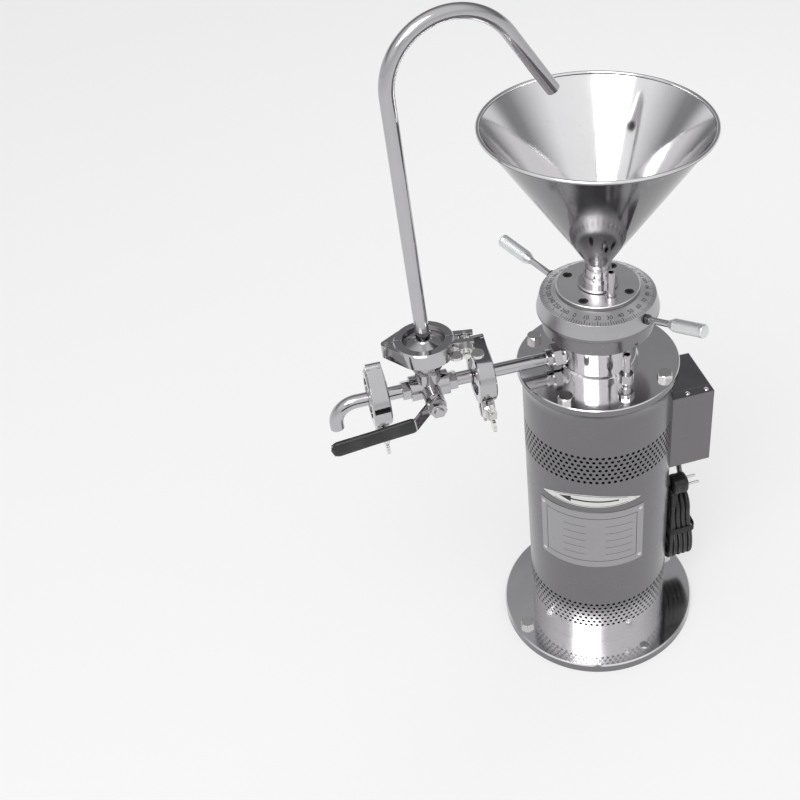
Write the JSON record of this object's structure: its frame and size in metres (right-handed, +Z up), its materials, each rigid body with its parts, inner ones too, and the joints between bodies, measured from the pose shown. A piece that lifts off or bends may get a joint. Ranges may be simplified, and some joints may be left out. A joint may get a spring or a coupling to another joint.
{
  "type": "colloid mill",
  "caption": "Vertical colloid mill with a conical feed hopper, gap adjusting dial, perforated motor housing and a clamped outlet line with a three-way valve and return pipe.",
  "frame": {"origin": "middle of the base plate's underside, on the shaft axis", "axes": "+Z up along the shaft, -X along the outlet line, +X to the junction box"},
  "size_m": [0.4434, 0.25, 0.8404],
  "materials": {
    "polished_steel": "mirror polished stainless steel",
    "shell_steel": "satin stainless sheet",
    "hopper_steel": "mirror polished stainless sheet",
    "box_steel": "satin stainless sheet",
    "bright_fastener": "bright stainless fasteners",
    "grey_paint": "grey enamel",
    "core_steel": "laminated steel",
    "copper_wire": "enamelled copper",
    "fan_plastic": "moulded fan",
    "black_rubber": "black rubber",
    "white_seal": "white seal",
    "grip_aluminium": "knurled bright grip",
    "black_vinyl": "dipped vinyl sleeve",
    "black_plastic": "moulded black plastic",
    "black_cord": "cord sheath"
  },
  "bodies": {
    "frame": {"base_plate": "polished_steel", "hold_down_bolts": "bright_fastener", "motor_shell": "shell_steel", "top_plate": "polished_steel", "plate_bolts": "bright_fastener", "motor_frame": "grey_paint", "stator_core": "core_steel", "stator_windings": "copper_wire", "lower_end_shield": "grey_paint", "tie_bolts": "bright_fastener", "shaft_bearings": "polished_steel", "fan_cowl": "grey_paint", "shaft_seal": "black_rubber", "mill_casing": "polished_steel", "lock_ring": "polished_steel", "casing_water_nipple": "polished_steel", "outlet_union_nut": "polished_steel", "outlet_pipe": "polished_steel", "inlet_clamp_jaws": "polished_steel", "spout_clamp_jaws": "polished_steel", "top_clamp_jaws": "polished_steel", "clamp_pins": "bright_fastener", "clamp_bolts": "bright_fastener", "clamp_gaskets": "white_seal", "valve_body": "polished_steel", "valve_adaptors": "polished_steel", "valve_seats": "white_seal", "valve_gland_nut": "polished_steel", "spout": "polished_steel", "junction_box": "box_steel", "junction_box_cover": "box_steel", "cable_gland": "black_plastic", "cord_tail": "black_cord", "cord_hank": "black_cord", "power_plug": "black_plastic"},
    "dial": {"adjusting_dial": "polished_steel", "handle_rods": "polished_steel", "handle_grips": "grip_aluminium"},
    "feed_head": {"stator_carrier": "polished_steel", "grinding_stator": "polished_steel", "feed_flange": "polished_steel", "feed_flange_screws": "bright_fastener", "feed_water_nipple": "polished_steel", "hopper_gasket": "black_rubber", "hopper_neck": "hopper_steel", "hopper": "hopper_steel"},
    "drive": {"motor_shaft": "polished_steel", "motor_rotor": "core_steel", "cooling_fan": "fan_plastic", "grinding_rotor": "polished_steel", "rotor_nut": "polished_steel"},
    "lever": {"valve_lever": "polished_steel", "lever_grip": "black_vinyl", "valve_stem": "polished_steel", "valve_ball": "polished_steel", "stem_nut": "polished_steel"},
    "riser": {"circulation_pipe": "polished_steel"},
    "inlet_nut": {"inlet_wing_nut": "bright_fastener"},
    "spout_nut": {"spout_wing_nut": "bright_fastener"},
    "top_nut": {"top_wing_nut": "bright_fastener"}
  },
  "joints": [
    {"name": "dial_turn", "type": "hinge", "parent": "frame", "child": "dial", "pos_m": [0, 0, 0.49], "axis": [0, 0, 1], "range_deg": [0, 130]},
    {"name": "stator_lift", "type": "slide", "parent": "frame", "child": "feed_head", "axis": [0, 0, 1], "range_m": [0, 0.000742]},
    {"name": "rotor_spin", "type": "hinge", "parent": "frame", "child": "drive", "pos_m": [0, 0, 0.3], "axis": [0, 0, 1], "continuous": true},
    {"name": "valve_lever_turn", "type": "hinge", "parent": "frame", "child": "lever", "pos_m": [-0.195, -0.03, 0.427], "axis": [0, -1, 0], "range_deg": [0, 90]},
    {"name": "riser_swivel", "type": "hinge", "parent": "frame", "child": "riser", "pos_m": [-0.195, 0, 0.481], "axis": [0, 0, 1], "range_deg": [-110, 110]},
    {"name": "inlet_nut_turn", "type": "hinge", "parent": "frame", "child": "inlet_nut", "pos_m": [-0.136, -0.01471, 0.38659], "axis": [0, -0.9397, 0.342], "continuous": true},
    {"name": "spout_nut_turn", "type": "hinge", "parent": "frame", "child": "spout_nut", "pos_m": [-0.251, 0, 0.384], "axis": [0, -1, 0], "continuous": true},
    {"name": "top_nut_turn", "type": "hinge", "parent": "frame", "child": "top_nut", "pos_m": [-0.15526, -0.02224, 0.481], "axis": [-0.1736, -0.9848, 0], "continuous": true}
  ],
  "couplings": [
    {"joint": "stator_lift", "follows": "dial_turn", "m_per_rad": 0.00031831}
  ]
}
